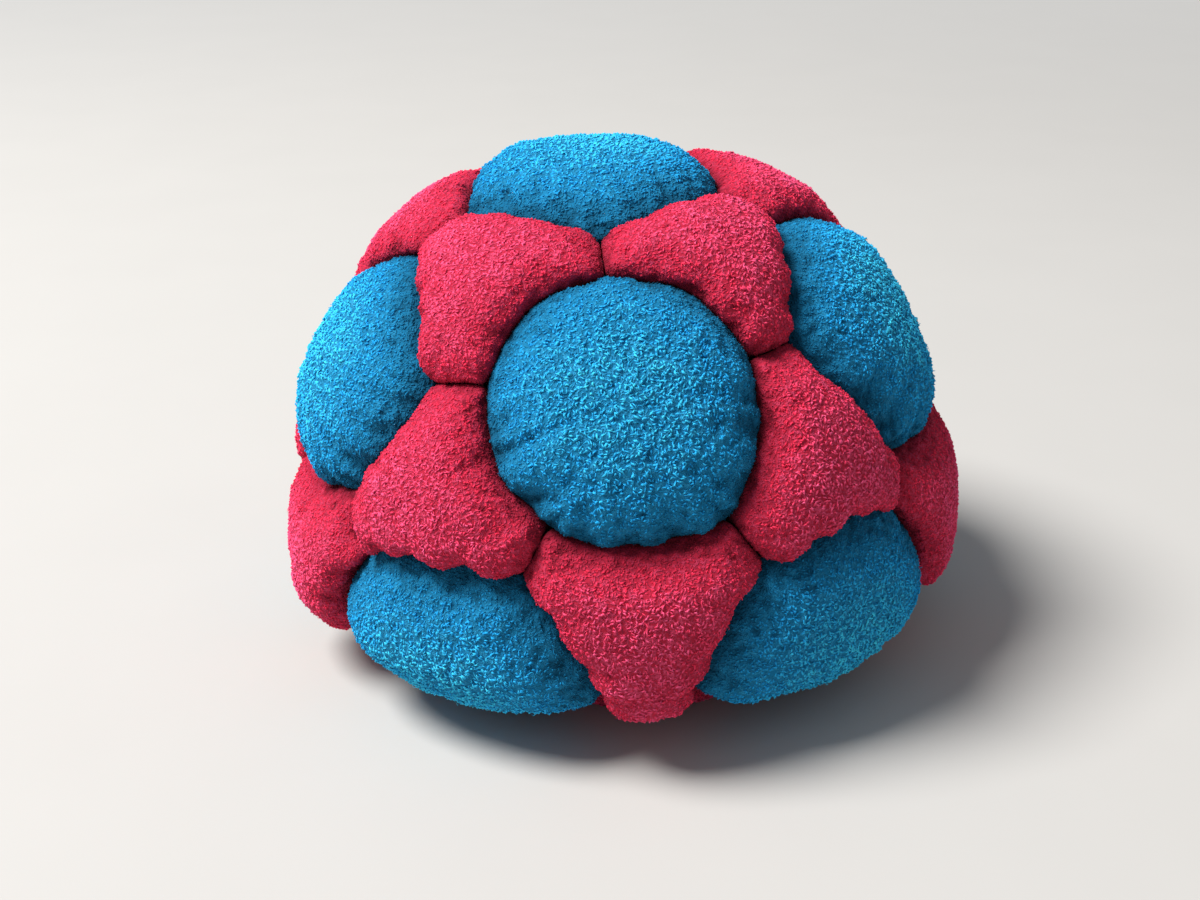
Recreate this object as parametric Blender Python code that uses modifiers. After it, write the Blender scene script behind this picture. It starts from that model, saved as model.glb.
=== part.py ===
"""A sand-filled footbag sewn from 32 suede panels, as it rests on a flat surface.

Twelve blue five-cornered panels and twenty crimson three-sided panels meet along ninety seams.
Each panel is a thin puffed cup: its edges turn inwards at the seams as a raw allowance. One
thread whips the raw edges together on the inside, and loose sand fills the space. The bag rests
on a blue panel, and its own weight presses the underside flat.

Units are metres and +Z is up. The origin is the middle of the flat that the bag rests on, and the
front of the bag faces -Y.
"""

from bisect import bisect_left
from math import acos, atan2, cos, hypot, pi, radians, sin, sqrt

import bmesh
import bpy
from mathutils import Matrix, Vector
from mathutils.geometry import intersect_point_line

# Whole bag at rest
BAG_WIDTH = 0.0540
BAG_HEIGHT = 0.0390
GIRTH_HEIGHT = 0.0085
REST_PRESS = 0.0010
TOP_POWER = 2.19
UNDER_POWER = 2.39
CORE_HEIGHT = 0.0120
CORE_SPREAD = 0.5
FRONT_ELEVATION = radians(29.6)
FRONT_ROLL = radians(4.6)

# Panel pattern on the unit sphere
SEAM_END = 0.4285
SEAM_BOW = 0.5
PANEL_SEAM_STEPS = 5
INNER_SEAM_STEPS = 3

# Suede and seams
WALL = 0.00075
SEAM_GAP = 0.00036
GROOVE = 0.00235
ALLOWANCE = 0.0022
SAG = 0.0005
MEAN_RADIUS = 0.0245

# Puff of each kind of panel: width of the rounded edge, roundness, and height of the crown
BLUE_PUFF = {"edge": 0.0045, "power": 2.3, "proud": -0.0001}
PINK_PUFF = {"edge": 0.0055, "power": 2.0, "proud": 0.0003}
BLUE_RINGS = (0.0, 0.62, 0.88, 1.0)
PINK_RINGS = (0.0, 0.60, 0.88, 1.0)

# Thread and sand
THREAD_THICKNESS = 0.00035
CLEARANCE = 0.00035
SAND_CLEARANCE = 0.0005
SAND_SHOULDER = 0.0006
LOBE_RINGS = (0.0, 0.62)

MERIDIAN_STEPS = 120

BLUE_SUEDE = ((0.018, 0.300, 0.600, 1.0), 0.95)
PINK_SUEDE = ((0.640, 0.045, 0.130, 1.0), 0.95)
POLYESTER = ((0.020, 0.030, 0.060, 1.0), 0.60)
SAND_GRAINS = ((0.520, 0.400, 0.250, 1.0), 0.90)


def clear_scene():
    for old in list(bpy.data.objects):
        bpy.data.objects.remove(old, do_unlink=True)


def make_material(name, colour, roughness):
    material = bpy.data.materials.new(name)
    material.use_nodes = True
    shader = material.node_tree.nodes["Principled BSDF"]
    shader.inputs["Base Color"].default_value = colour
    shader.inputs["Roughness"].default_value = roughness
    shader.inputs["Metallic"].default_value = 0.0
    material.diffuse_color = colour
    return material


def meridian():
    """Polar angle on the unit sphere, radius and height, down the bag's outline.

    The outline is two quarter superellipses that meet at the girth. A polar angle belongs to the
    point that has the same share of the bag's area above it as it has of the sphere's.
    """
    half_width = BAG_WIDTH / 2
    top_height = BAG_HEIGHT - GIRTH_HEIGHT
    under_height = GIRTH_HEIGHT + REST_PRESS
    outline = []
    for step in range(MERIDIAN_STEPS + 1):
        turn = pi / 2 * step / MERIDIAN_STEPS
        radius = half_width * sin(turn) ** (2 / TOP_POWER)
        height = GIRTH_HEIGHT + top_height * abs(cos(turn)) ** (2 / TOP_POWER)
        outline.append((radius, height))
    for step in range(1, MERIDIAN_STEPS + 1):
        turn = pi / 2 * step / MERIDIAN_STEPS
        radius = half_width * abs(cos(turn)) ** (2 / UNDER_POWER)
        height = GIRTH_HEIGHT - under_height * sin(turn) ** (2 / UNDER_POWER)
        outline.append((radius, height))
    areas = [0.0]
    for (radius_a, height_a), (radius_b, height_b) in zip(outline, outline[1:]):
        band = (radius_a + radius_b) * hypot(radius_b - radius_a, height_b - height_a)
        areas.append(areas[-1] + band)
    polar = [acos(max(-1.0, 1.0 - 2.0 * area / areas[-1])) for area in areas]
    return polar, [point[0] for point in outline], [point[1] for point in outline]


POLAR, RADII, HEIGHTS = meridian()


def skin_point(direction):
    """Where a direction from the middle of the unit sphere lands on the unpressed bag."""
    polar = direction.angle(Vector((0.0, 0.0, 1.0)))
    upper = min(max(bisect_left(POLAR, polar), 1), len(POLAR) - 1)
    share = (polar - POLAR[upper - 1]) / (POLAR[upper] - POLAR[upper - 1])
    radius = RADII[upper - 1] + share * (RADII[upper] - RADII[upper - 1])
    height = HEIGHTS[upper - 1] + share * (HEIGHTS[upper] - HEIGHTS[upper - 1])
    across = max(hypot(direction.x, direction.y), 1e-9)
    return Vector((direction.x / across * radius, direction.y / across * radius, height))


def outward(skin):
    """The way out of the bag at a point of its skin, away from a core that widens downwards."""
    spread = CORE_SPREAD * (1.0 - min(skin.z / BAG_HEIGHT, 1.0)) ** 2
    return (skin - Vector((skin.x * spread, skin.y * spread, CORE_HEIGHT))).normalized()


def place(direction, depth):
    """Point at a depth under the skin, sagged by the weight of the fill."""
    skin = skin_point(direction)
    ray = outward(skin)
    steepness = hypot(ray.x, ray.y)
    sag = SAG * steepness * max(0.0, 1.0 - depth / GROOVE)
    return skin - ray * depth - Vector((0.0, 0.0, sag))


def pattern(seam_steps):
    """The panel pattern on the unit sphere, turned as the bag lies."""
    bm = bmesh.new()
    bmesh.ops.create_icosphere(bm, subdivisions=1, radius=1.0)
    top = Vector((0.0, 0.0, 1.0))
    ring = next(v.co.copy() for v in bm.verts if 0.1 < v.co.z < 0.9)
    bmesh.ops.bevel(
        bm, geom=bm.verts[:], offset=SEAM_END * 100, offset_type="PERCENT",
        affect="VERTICES", segments=1, profile=0.5, material=-1,
    )
    long_seams = [e for e in bm.edges if any(len(f.verts) == 5 for f in e.link_faces)]
    blue_centres = [f.calc_center_median().normalized() for f in bm.faces if len(f.verts) == 5]
    corner_reach = blue_centres[0].angle(
        min(bm.verts, key=lambda v: blue_centres[0].angle(v.co)).co)
    bmesh.ops.subdivide_edges(bm, edges=long_seams, cuts=seam_steps - 1)
    for vert in bm.verts:
        direction = vert.co.normalized()
        centre = min(blue_centres, key=direction.angle)
        reach = centre.angle(direction)
        if reach < corner_reach:
            bowed = reach + SEAM_BOW * (corner_reach - reach)
            direction = centre.slerp(direction, bowed / reach)
        vert.co = direction
    bmesh.ops.rotate(bm, verts=bm.verts, cent=(0, 0, 0), matrix=attitude(top, ring))
    bm.normal_update()
    return bm


def attitude(pole, neighbour):
    """Turn that brings one blue centre to the front and its neighbour above it."""
    source = upright_axes(pole, neighbour)
    front = Vector((0.0, -cos(FRONT_ELEVATION), sin(FRONT_ELEVATION)))
    above = Matrix.Rotation(FRONT_ROLL, 3, front) @ Vector((0.0, 0.0, 1.0))
    return upright_axes(front, above) @ source.transposed()


def upright_axes(facing, above):
    up = (above - facing * above.dot(facing)).normalized()
    return Matrix((up.cross(facing), facing, up)).transposed()


def seam_frame(row, index, ray):
    """Unit vector from the seam into the panel at one point, and the stretch a mitre needs."""
    here = row[index]
    ahead = (row[(index + 1) % len(row)] - here).normalized()
    behind = (here - row[index - 1]).normalized()
    inward = ray.cross(ahead + behind).normalized()
    mitre = 1.0 / max(0.7, cos(ahead.angle(behind) / 2))
    return inward, mitre


def disc_blank(rings, sectors):
    """Flat disc whose rings are one unit apart, spun from one spoke."""
    bm = bmesh.new()
    spoke = [bm.verts.new((ring, 0.0, 0.0)) for ring in range(rings)]
    edges = [bm.edges.new(pair) for pair in zip(spoke, spoke[1:])]
    bmesh.ops.spin(
        bm, geom=spoke + edges, cent=(0, 0, 0), axis=(0, 0, 1), dvec=(0, 0, 0),
        angle=2 * pi, steps=sectors, use_merge=True,
    )
    bmesh.ops.remove_doubles(bm, verts=bm.verts, dist=0.01)
    return bm


def form_disc(loop, rings):
    """A disc blank formed to a panel: each ring is a reach, an inward shift and a depth."""
    sectors = len(loop)
    centre = sum(loop, Vector()).normalized()
    bm = disc_blank(len(rings), sectors)
    for vert in bm.verts:
        ring = round(hypot(vert.co.x, vert.co.y))
        index = round(atan2(vert.co.y, vert.co.x) / (2 * pi) * sectors) % sectors
        reach, shift, depth_at = rings[ring]
        direction = centre.slerp(loop[index], reach)
        depth = depth_at(loop, direction)
        vert.co = place(direction, depth)
        if shift:
            row = [place(corner, depth) for corner in loop]
            inward, mitre = seam_frame(row, index, outward(skin_point(direction)))
            vert.co += inward * shift * mitre
    crown = place(centre, 0.0)
    top_face = min(bm.faces, key=lambda f: (f.calc_center_median() - crown).length)
    top_face.normal_update()
    if top_face.normal.dot(outward(crown)) < 0:
        bmesh.ops.reverse_faces(bm, faces=bm.faces[:])
    return bm


def seam_distance(point, loop):
    """Distance on the unit sphere from a point to the nearest seam of its panel."""
    nearest = []
    for start, end in zip(loop, loop[1:] + loop[:1]):
        share = intersect_point_line(point, start, end)[1]
        foot = start.lerp(end, min(max(share, 0.0), 1.0))
        nearest.append((point - foot).length)
    return min(nearest)


def puffed(puff, extra=0.0, inset=0.0):
    """Depth rule of a puffed panel: the crown is flat and its edge rounds down to the groove."""
    def depth_at(loop, direction):
        from_seam = seam_distance(direction, loop) * MEAN_RADIUS - inset
        share = min(max(from_seam / puff["edge"], 0.0), 1.0)
        rise = (1.0 - (1.0 - share) ** puff["power"]) ** (1.0 / puff["power"])
        return GROOVE + extra - (GROOVE + puff["proud"]) * rise
    return depth_at


def fixed(depth):
    """Depth rule that is the same all along a seam."""
    return lambda loop, direction: depth


def panel_shell(loop, reaches, puff):
    """Open skin of one panel, from its crown over the rounded edge and down the allowance."""
    rings = [(reach, 0.0, puffed(puff)) for reach in reaches[:-1]]
    rings.append((1.0, SEAM_GAP / 2, fixed(GROOVE)))
    rings.append((1.0, SEAM_GAP / 2, fixed(GROOVE + ALLOWANCE)))
    bm = form_disc(loop, rings)
    for vert in bm.verts:
        vert.co.z = max(vert.co.z, 0.0)
    return bm


def add_object(name, bm, material, collection):
    mesh = bpy.data.meshes.new(name)
    bm.to_mesh(mesh)
    bm.free()
    mesh.materials.append(material)
    mesh.shade_smooth()
    piece = bpy.data.objects.new(name, mesh)
    collection.objects.link(piece)
    return piece


def add_panel(name, loop, reaches, puff, material, collection):
    piece = add_object(name, panel_shell(loop, reaches, puff), material, collection)
    wall = piece.modifiers.new("Suede thickness", "SOLIDIFY")
    wall.thickness = WALL
    wall.offset = -1.0
    wall.use_even_offset = True
    wall.use_rim = True
    return piece


def thread_depth():
    return GROOVE + ALLOWANCE + CLEARANCE + THREAD_THICKNESS / 2


def add_thread(net, material, collection):
    """One thread that whips the raw edges of all the seams together."""
    bm = net.copy()
    tape = bmesh.ops.inset_individual(
        bm, faces=bm.faces[:], thickness=THREAD_THICKNESS / 2 / MEAN_RADIUS, use_even_offset=True)
    panels = [face for face in bm.faces if face not in set(tape["faces"])]
    bmesh.ops.delete(bm, geom=panels, context="FACES_ONLY")
    for vert in bm.verts:
        vert.co = place(vert.co.normalized(), thread_depth() - THREAD_THICKNESS / 2)
    piece = add_object("seam_thread", bm, material, collection)
    strand = piece.modifiers.new("Thread", "SOLIDIFY")
    strand.thickness = THREAD_THICKNESS
    strand.offset = -1.0
    strand.use_rim = True
    return piece


def add_sand(net, material, collection):
    """The fill: a lobe in each panel, drawn in round the allowances and the thread."""
    half_seam = SEAM_GAP / 2 + WALL + CLEARANCE
    bed = thread_depth() + THREAD_THICKNESS / 2 + CLEARANCE
    under = WALL + SAND_CLEARANCE
    joined = bmesh.new()
    for face in net.faces:
        loop = [vert.co.copy() for vert in face.verts]
        puff = BLUE_PUFF if len(loop) == 5 * INNER_SEAM_STEPS else PINK_PUFF
        lobe = puffed(puff, extra=under, inset=half_seam)
        rings = [(reach, 0.0, lobe) for reach in LOBE_RINGS]
        rings.append((1.0, half_seam + SAND_SHOULDER, fixed(GROOVE - SAND_SHOULDER + under)))
        rings.append((1.0, half_seam, fixed(bed)))
        rings.append((1.0, 0.0, fixed(bed)))
        part = form_disc(loop, rings)
        mesh = bpy.data.meshes.new("lobe")
        part.to_mesh(mesh)
        part.free()
        joined.from_mesh(mesh)
        bpy.data.meshes.remove(mesh)
    bmesh.ops.remove_doubles(joined, verts=joined.verts, dist=0.00001)
    for vert in joined.verts:
        vert.co.z = max(vert.co.z, under)
    return add_object("sand_fill", joined, material, collection)


def build():
    clear_scene()
    collection = bpy.data.collections.new("footbag")
    bpy.context.scene.collection.children.link(collection)
    blue = make_material("blue_suede", *BLUE_SUEDE)
    pink = make_material("pink_suede", *PINK_SUEDE)
    thread = make_material("thread", *POLYESTER)
    sand = make_material("sand", *SAND_GRAINS)

    panel_net = pattern(PANEL_SEAM_STEPS)
    faces = sorted(panel_net.faces, key=lambda f: -round(f.calc_center_median().z, 4))
    counts = {"blue": 0, "pink": 0}
    for face in faces:
        loop = [vert.co.copy() for vert in face.verts]
        is_blue = len(loop) == 5 * PANEL_SEAM_STEPS
        kind = "blue" if is_blue else "pink"
        counts[kind] += 1
        name = f"{kind}_panel_{counts[kind]:02d}"
        reaches = BLUE_RINGS if is_blue else PINK_RINGS
        puff = BLUE_PUFF if is_blue else PINK_PUFF
        add_panel(name, loop, reaches, puff, blue if is_blue else pink, collection)
    panel_net.free()

    inner_net = pattern(INNER_SEAM_STEPS)
    add_thread(inner_net, thread, collection)
    add_sand(inner_net, sand, collection)
    inner_net.free()


build()
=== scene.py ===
"""Footbag sewn from 32 suede panels: its finished surfaces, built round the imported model.

The file is laid out as an add-on and is run as a script. Each kind of piece has an operator, and
the Footbag tab of the 3D view's sidebar lists them. Units are metres, +Z is up, the bag rests on
the origin and its front faces -Y.
"""

from itertools import product
from math import cos, pi, radians, sin

import bmesh
import bpy
import numpy as np
from bpy.props import FloatProperty, FloatVectorProperty, IntProperty, PointerProperty
from bpy.types import Operator, Panel, PropertyGroup
from mathutils import Matrix, Vector


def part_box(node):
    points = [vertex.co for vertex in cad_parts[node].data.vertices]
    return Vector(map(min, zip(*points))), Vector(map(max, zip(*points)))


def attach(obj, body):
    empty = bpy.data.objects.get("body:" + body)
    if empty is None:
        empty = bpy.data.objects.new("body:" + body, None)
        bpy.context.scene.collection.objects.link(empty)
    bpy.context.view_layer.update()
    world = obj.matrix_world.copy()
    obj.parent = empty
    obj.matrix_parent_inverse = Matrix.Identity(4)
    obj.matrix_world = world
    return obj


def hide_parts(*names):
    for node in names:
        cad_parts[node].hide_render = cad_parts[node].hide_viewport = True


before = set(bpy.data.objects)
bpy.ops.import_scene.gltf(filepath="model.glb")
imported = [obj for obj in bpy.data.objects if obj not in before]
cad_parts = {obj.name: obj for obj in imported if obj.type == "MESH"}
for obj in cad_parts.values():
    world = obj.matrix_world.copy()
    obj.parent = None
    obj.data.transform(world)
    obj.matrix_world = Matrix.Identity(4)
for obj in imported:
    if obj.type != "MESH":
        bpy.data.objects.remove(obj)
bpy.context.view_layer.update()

bl_info = {
    "name": "Footbag",
    "version": (1, 0, 0),
    "blender": (4, 5, 0),
    "location": "View3D > Sidebar > Footbag",
    "description": "Builds a sand-filled footbag of puffed suede panels",
    "category": "Add Mesh",
}

BODY = "root"
BAKE_MAP = "OFBake"

# Outline and panel pattern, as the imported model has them
TOP_POWER = 2.19
UNDER_POWER = 2.39
CORE_HEIGHT = 0.0120
CORE_SPREAD = 0.5
MERIDIAN_STEPS = 240
SEAM_END = 0.4285
SEAM_BOW = 0.5
MEAN_RADIUS = 0.0245
WALL = 0.00075
SEAM_GAP = 0.00010
ALLOWANCE = 0.0018

# Mesh steps
SEAM_STEPS = 12
BLUE_RINGS = 28
PINK_RINGS = 19
FINE_CUTS = 2
COARSE_PASSES = 4
FINE_PASSES = 2
LOOP_SMOOTHING = 2

# The short seams lie shallower than the long ones, and the edges rise more gently from them
SADDLE_RISE = 0.0005
SADDLE_REACH = 0.0019
SADDLE_FOOT = 1.35

# Stitches: how far a dent reaches, its spread along the seam in pitches, how far it draws the edge
# back, how far it may slip off its even place in pitches, and how firmly each is drawn
STITCH_REACH = 0.0017
STITCH_SPREAD = 0.30
STITCH_TUCK = 0.0004
STITCH_SLIP = 0.22
STITCH_STRENGTHS = (0.45, 1.0)

# How soon a panel's upper side turns into its lower one, and how much of the stitches' pull is left
# on the upper side
LOW_SIDE = 1.8
HIGH_PULL = 0.12

# Puffed edge: how wide it is between stitches and how much wider at one, the height from which it
# leans fully, how far the lean reaches, and the distances between which other sides begin to count
EDGE_SPREAD = (0.9, 0.4)
LEAN_RISE = 0.55
LEAN_REACH = 0.0036
NEAR_SEAM = (0.0004, 0.0014)

# Tufts: their middle level, the share of the rings over which they fade at the seam, the size of
# the large ones in small ones, and how much of each there is
TUFT_LEVEL = 0.5
TUFT_FADE = 0.06
TUFT_GROUPS = 2.6
TUFT_SHARES = (0.55, 0.20)

# Drift of the seams: sizes of its larger and smaller waves, and the height where it is whole
DRIFT_SIZES = (0.0052, 0.0027)
DRIFT_HEIGHT = 0.004

# Where the fill has shifted the seams off their even pattern: a place, and the move there
SHIFT_REACH = 0.0050
SHIFTS = (
    ((-0.0010, -0.0115, 0.0355), (0.0000, -0.0004, -0.0010)),
    ((0.0110, -0.0025, 0.0355), (-0.0009, -0.0003, -0.0010)),
    ((0.0125, -0.0150, 0.0290), (-0.0010, -0.0001, -0.0009)),
    ((0.0210, -0.0130, 0.0190), (-0.0003, 0.0000, -0.0008)),
    ((0.0075, -0.0235, 0.0185), (0.0003, 0.0000, -0.0007)),
    ((-0.0010, -0.0255, 0.0180), (0.0000, 0.0000, -0.0006)),
    ((0.0020, -0.0240, 0.0065), (0.0000, -0.0002, -0.0012)),
    ((0.0020, -0.0215, 0.0000), (0.0000, 0.0024, 0.0000)),
    ((-0.0080, -0.0240, 0.0140), (0.0005, 0.0000, 0.0004)),
    ((-0.0200, -0.0155, 0.0145), (0.0006, 0.0000, 0.0003)),
    ((-0.0145, -0.0155, 0.0270), (0.0005, 0.0000, -0.0009)),
    ((-0.0160, -0.0130, 0.0305), (-0.0007, 0.0000, 0.0000)),
    ((-0.0110, -0.0180, 0.0275), (0.0008, 0.0000, -0.0003)),
    ((-0.0135, -0.0035, 0.0340), (0.0003, 0.0000, -0.0008)),
    ((-0.0240, -0.0060, 0.0235), (-0.0005, 0.0000, 0.0001)),
    ((-0.0250, -0.0070, 0.0125), (0.0004, 0.0000, 0.0000)),
    ((-0.0080, 0.0040, 0.0380), (-0.0005, 0.0000, 0.0005)),
    ((0.0100, 0.0040, 0.0370), (-0.0001, 0.0000, -0.0004)),
    ((0.0180, -0.0010, 0.0300), (0.0003, 0.0000, 0.0003)),
    ((0.0225, -0.0060, 0.0200), (0.0004, 0.0000, 0.0000)),
)

# Strands of nap: bends in each and kinds of tone, the spread of their turns, lengths, heights,
# crests and widths, how deep they are rooted, the ring where they end, the size and share of the
# waves they lie in, and how many places are tried for each
STRAND_BENDS = 1
STRAND_TONES = 16
STRAND_TURN = (0.5, 2.2)
STRAND_LENGTHS = (0.6, 1.25)
STRAND_RISES = (0.35, 1.25)
STRAND_CRESTS = (0.75, 1.0)
STRAND_WIDTHS = (0.7, 1.15)
STRAND_SINK = 0.00006
STRAND_RIM = 0.965
STRAND_SWAY = (0.0022, 1.2)
STRAND_TRIES = 5.0

# Thin stray strands: how many of all there are, and how they differ from the others
STRAY_SHARE = 0.012
STRAY_LENGTH = 2.0
STRAY_WIDTH = 0.35

# How much painted shade darkens strands in the hollows between tufts and in the grooves, how much
# shorter they are in the grooves, their spread of tones, how their painted light grows from the
# shaded root to the highlit tip, and the painted light at which a strand and the ground have their
# own colour, below which they darken as painted shade
HOLLOW_SHADE = 0.35
GROOVE_SHADE = 1.0
GROOVE_LENGTH = 0.45
STRAND_SHADES = (0.75, 1.0)
STRAND_LIFT = (0.65, 0.35, 0.6)
BODY_LIFT = 0.38
GROUND_LIFT = 0.20

# Nap's shades as shares of its colours: the painted shade at the bottom, in clouded places, on
# strands and the painted highlight on their tips, and how much paler the ground's fibres are than
# the ground
DEEP_SHADE = 0.10
CLOUD_SHADE = 0.60
BODY_SHADE = 1.2
TIP_SHADE = 1.5
FIBRE_STEP = 0.35

# Lining of a panel, and where the strands, the skin and the lining lie in the flat map
LINING_REACHES = (0.85, 0.65, 0.40, 0.15)
STRAND_MAP = (0.79, 0.30, 0.19, 0.66)
STRIP_FILL = 0.42
SKIN_MIDDLE = (0.39, 0.61)
SKIN_SIZE = 0.36
LINING_MIDDLE = (0.88, 0.12)
LINING_SIZE = 0.10

# Settling, which works on panels about as large as a cushion
SETTLE_SCALE = 20.0
SETTLE_QUALITY = 6
SETTLE_CAP = 0.0006
SPARE_CLOTH = 0.03
BENDING = 0.3
SLACK_TOP = 0.2

# Stage: the floor fades to the plain background between two distances from the bag
CAMERA_PLACE = Vector((-0.0015, -0.1239, 0.0695))
CAMERA_PITCH = radians(24.31)
CAMERA_ROLL = radians(1.06)
KEY_PLACE = (-0.37, -0.03, 0.62)
KEY_TARGET = Vector((0.0, 0.0, 0.015))
KEY_SIZE = 0.34
KEY_COLOUR = (1.0, 0.98, 0.95)
SKY_COLOUR = (0.92, 0.95, 1.0, 1.0)
FLOOR_RADIUS = 4.0
FLOOR_FADE = (0.18, 0.60)
BEHIND = (0.80, 0.80, 0.79, 1.0)

# Each kind of panel: width of its puffed edge, roundness of the edge's crown and foot, and height
# of the crown over the outline; which way the edge leans, back from the seam or over it, how much
# on the panel's upper side and how much more on its lower side; how much wider the edge is on each
# side; how much stitches draw it in; how soon painted shade darkens it towards the groove; height
# of its nap and tone of the ground between the strands, darkened as painted shade; and the share
# of its rings that the edge has
KINDS = {
    "blue": {
        "edge": 0.0056, "power": 2.2, "foot": 1.8, "proud": -0.0004,
        "lean": 1.0, "high_lean": 1.0, "low_lean": -1.2, "high_edge": 0.0, "low_edge": 0.25,
        "pull": 1.3, "shade_power": 0.5, "nap": 1.0, "ground": 0.48,
        "edge_share": 0.66, "rings": BLUE_RINGS},
    "pink": {
        "edge": 0.0041, "power": 2.1, "foot": 1.8, "proud": 0.0002,
        "lean": -1.0, "high_lean": 0.35, "low_lean": 0.0, "high_edge": 0.3, "low_edge": 0.0,
        "pull": 0.7, "shade_power": 0.75, "nap": 0.75, "ground": 0.60,
        "edge_share": 0.88, "rings": PINK_RINGS},
}


class FootbagShape(PropertyGroup):
    """Sizes of the whole bag and its seams."""

    width: FloatProperty(
        name="Width", description="Bag across its girth", default=0.0540, unit="LENGTH")
    height: FloatProperty(
        name="Height", description="Bag from its rest to its top", default=0.0390, unit="LENGTH")
    girth_height: FloatProperty(
        name="Girth height", description="Height of the widest part", default=0.0085, unit="LENGTH")
    rest_press: FloatProperty(
        name="Rest press", description="How far the weight presses the base flat",
        default=0.0010, unit="LENGTH")
    front_elevation: FloatProperty(
        name="Front elevation", description="How far the front panel looks upwards",
        default=radians(29.6), subtype="ANGLE")
    front_roll: FloatProperty(
        name="Front roll", description="Lean of the panel above the front one",
        default=radians(4.6), subtype="ANGLE")
    groove: FloatProperty(
        name="Groove", description="Depth of the seams under the outline",
        default=0.0028, unit="LENGTH")
    lean: FloatProperty(
        name="Lean", description="How far the crimson panels bulge over the blue ones",
        default=0.0006, unit="LENGTH")
    sag: FloatProperty(
        name="Sag", description="How far the fill pulls the outside of each panel down",
        default=0.0005, unit="LENGTH")
    overhang: FloatProperty(
        name="Overhang", description="Extra drop of each panel's outside over the seam below it",
        default=0.0010, unit="LENGTH")
    stitch_pitch: FloatProperty(
        name="Stitch pitch", description="Distance between the stitches that draw the edge in",
        default=0.0032, unit="LENGTH")
    stitch_pull: FloatProperty(
        name="Stitch pull", description="How deep a stitch draws the panel's edge",
        default=0.0010, unit="LENGTH")
    wander: FloatProperty(
        name="Wander", description="How far the seams stray from their even pattern",
        default=0.0004, unit="LENGTH")


class FootbagSuede(PropertyGroup):
    """Colours and nap of the suede."""

    blue: FloatVectorProperty(
        name="Blue", description="Colour of the five-cornered panels",
        default=(0.016, 0.350, 0.720), subtype="COLOR", min=0.0, max=1.0)
    pink: FloatVectorProperty(
        name="Crimson", description="Colour of the three-sided panels",
        default=(0.730, 0.029, 0.079), subtype="COLOR", min=0.0, max=1.0)
    # The tip colours are painted highlights: strands are painted lighter at their tips than at their
    # roots
    blue_highlight: FloatVectorProperty(
        name="Blue tips", description="Colour of the worn tips of the blue nap",
        default=(0.060, 0.565, 1.000), subtype="COLOR", min=0.0, max=1.0)
    pink_highlight: FloatVectorProperty(
        name="Crimson tips", description="Colour of the worn tips of the crimson nap",
        default=(1.000, 0.115, 0.275), subtype="COLOR", min=0.0, max=1.0)
    tuft_size: FloatProperty(
        name="Tuft size", description="Distance between neighbouring tufts of nap",
        default=0.00075, unit="LENGTH")
    tuft_height: FloatProperty(
        name="Tuft height", description="Height of the tufts over the hollows between them",
        default=0.00032, unit="LENGTH")
    strand_spacing: FloatProperty(
        name="Strand spacing", description="Distance between neighbouring strands of nap",
        default=0.00032, unit="LENGTH")
    strand_length: FloatProperty(
        name="Strand length", description="Length of a strand along the skin",
        default=0.00046, unit="LENGTH")
    strand_rise: FloatProperty(
        name="Strand rise", description="Height of a strand's arch over the skin",
        default=0.00017, unit="LENGTH")
    strand_width: FloatProperty(
        name="Strand width", description="Thickness of a strand",
        default=0.00022, unit="LENGTH")
    pressure: FloatProperty(
        name="Pressure", description="Push of the fill while the panels settle", default=4.0)
    settle_frames: IntProperty(
        name="Settling steps", description="Steps for which the panels settle", default=16, min=1)


class FootbagStage(PropertyGroup):
    """Floor, light and camera."""

    floor: FloatVectorProperty(
        name="Floor", description="Colour of the floor", default=(0.52, 0.512, 0.498),
        subtype="COLOR", min=0.0, max=1.0)
    key_power: FloatProperty(
        name="Key light", description="Power of the large lamp at the upper left",
        default=8.6, unit="POWER")
    surround: FloatProperty(
        name="Surround", description="Brightness of the even light all round", default=0.31)
    lens: FloatProperty(
        name="Lens", description="Focal length of the camera in millimetres", default=49.92)


# Noise and the bag's outline


def hashed(cell, seed):
    """A repeatable gradient for each cell of a lattice."""
    code = cell[:, 0] * 73856093 ^ cell[:, 1] * 19349663 ^ cell[:, 2] * 83492791 ^ seed * 40503
    code = (code ^ code >> 13) * 1274126177 & 0xFFFFFFFF
    code = (code ^ code >> 16) * 668265263 & 0xFFFFFFFF
    code = code ^ code >> 15
    return np.column_stack([(code >> shift & 1023) / 511.5 - 1.0 for shift in (0, 10, 20)])


def lumps(points, size, seed):
    """Smooth noise from about -1 to 1, whose lumps are a size apart."""
    scaled = points / size
    cell = np.floor(scaled).astype(np.int64)
    part = scaled - cell
    ease = part ** 3 * (part * (part * 6.0 - 15.0) + 10.0)
    total = np.zeros(len(points))
    for corner in product((0, 1), repeat=3):
        share = np.prod(np.where(corner, ease, 1.0 - ease), axis=1)
        total += share * ((part - corner) * hashed(cell + corner, seed)).sum(axis=1)
    return total * 1.4


def lump_vectors(points, size, seed):
    return np.column_stack([lumps(points, size, seed + axis) for axis in range(3)])


def unit(vectors):
    return vectors / np.maximum(np.linalg.norm(vectors, axis=-1, keepdims=True), 1e-12)


def slerp(centre, ends, reach):
    """Directions at a reach from one centre towards their ends, along great circles."""
    angle = np.arccos(np.clip(ends @ centre, -1.0, 1.0))
    near = np.sin((1.0 - reach) * angle) / np.sin(angle)
    far = np.sin(reach * angle) / np.sin(angle)
    return near[:, None] * centre + far[:, None] * ends


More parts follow.
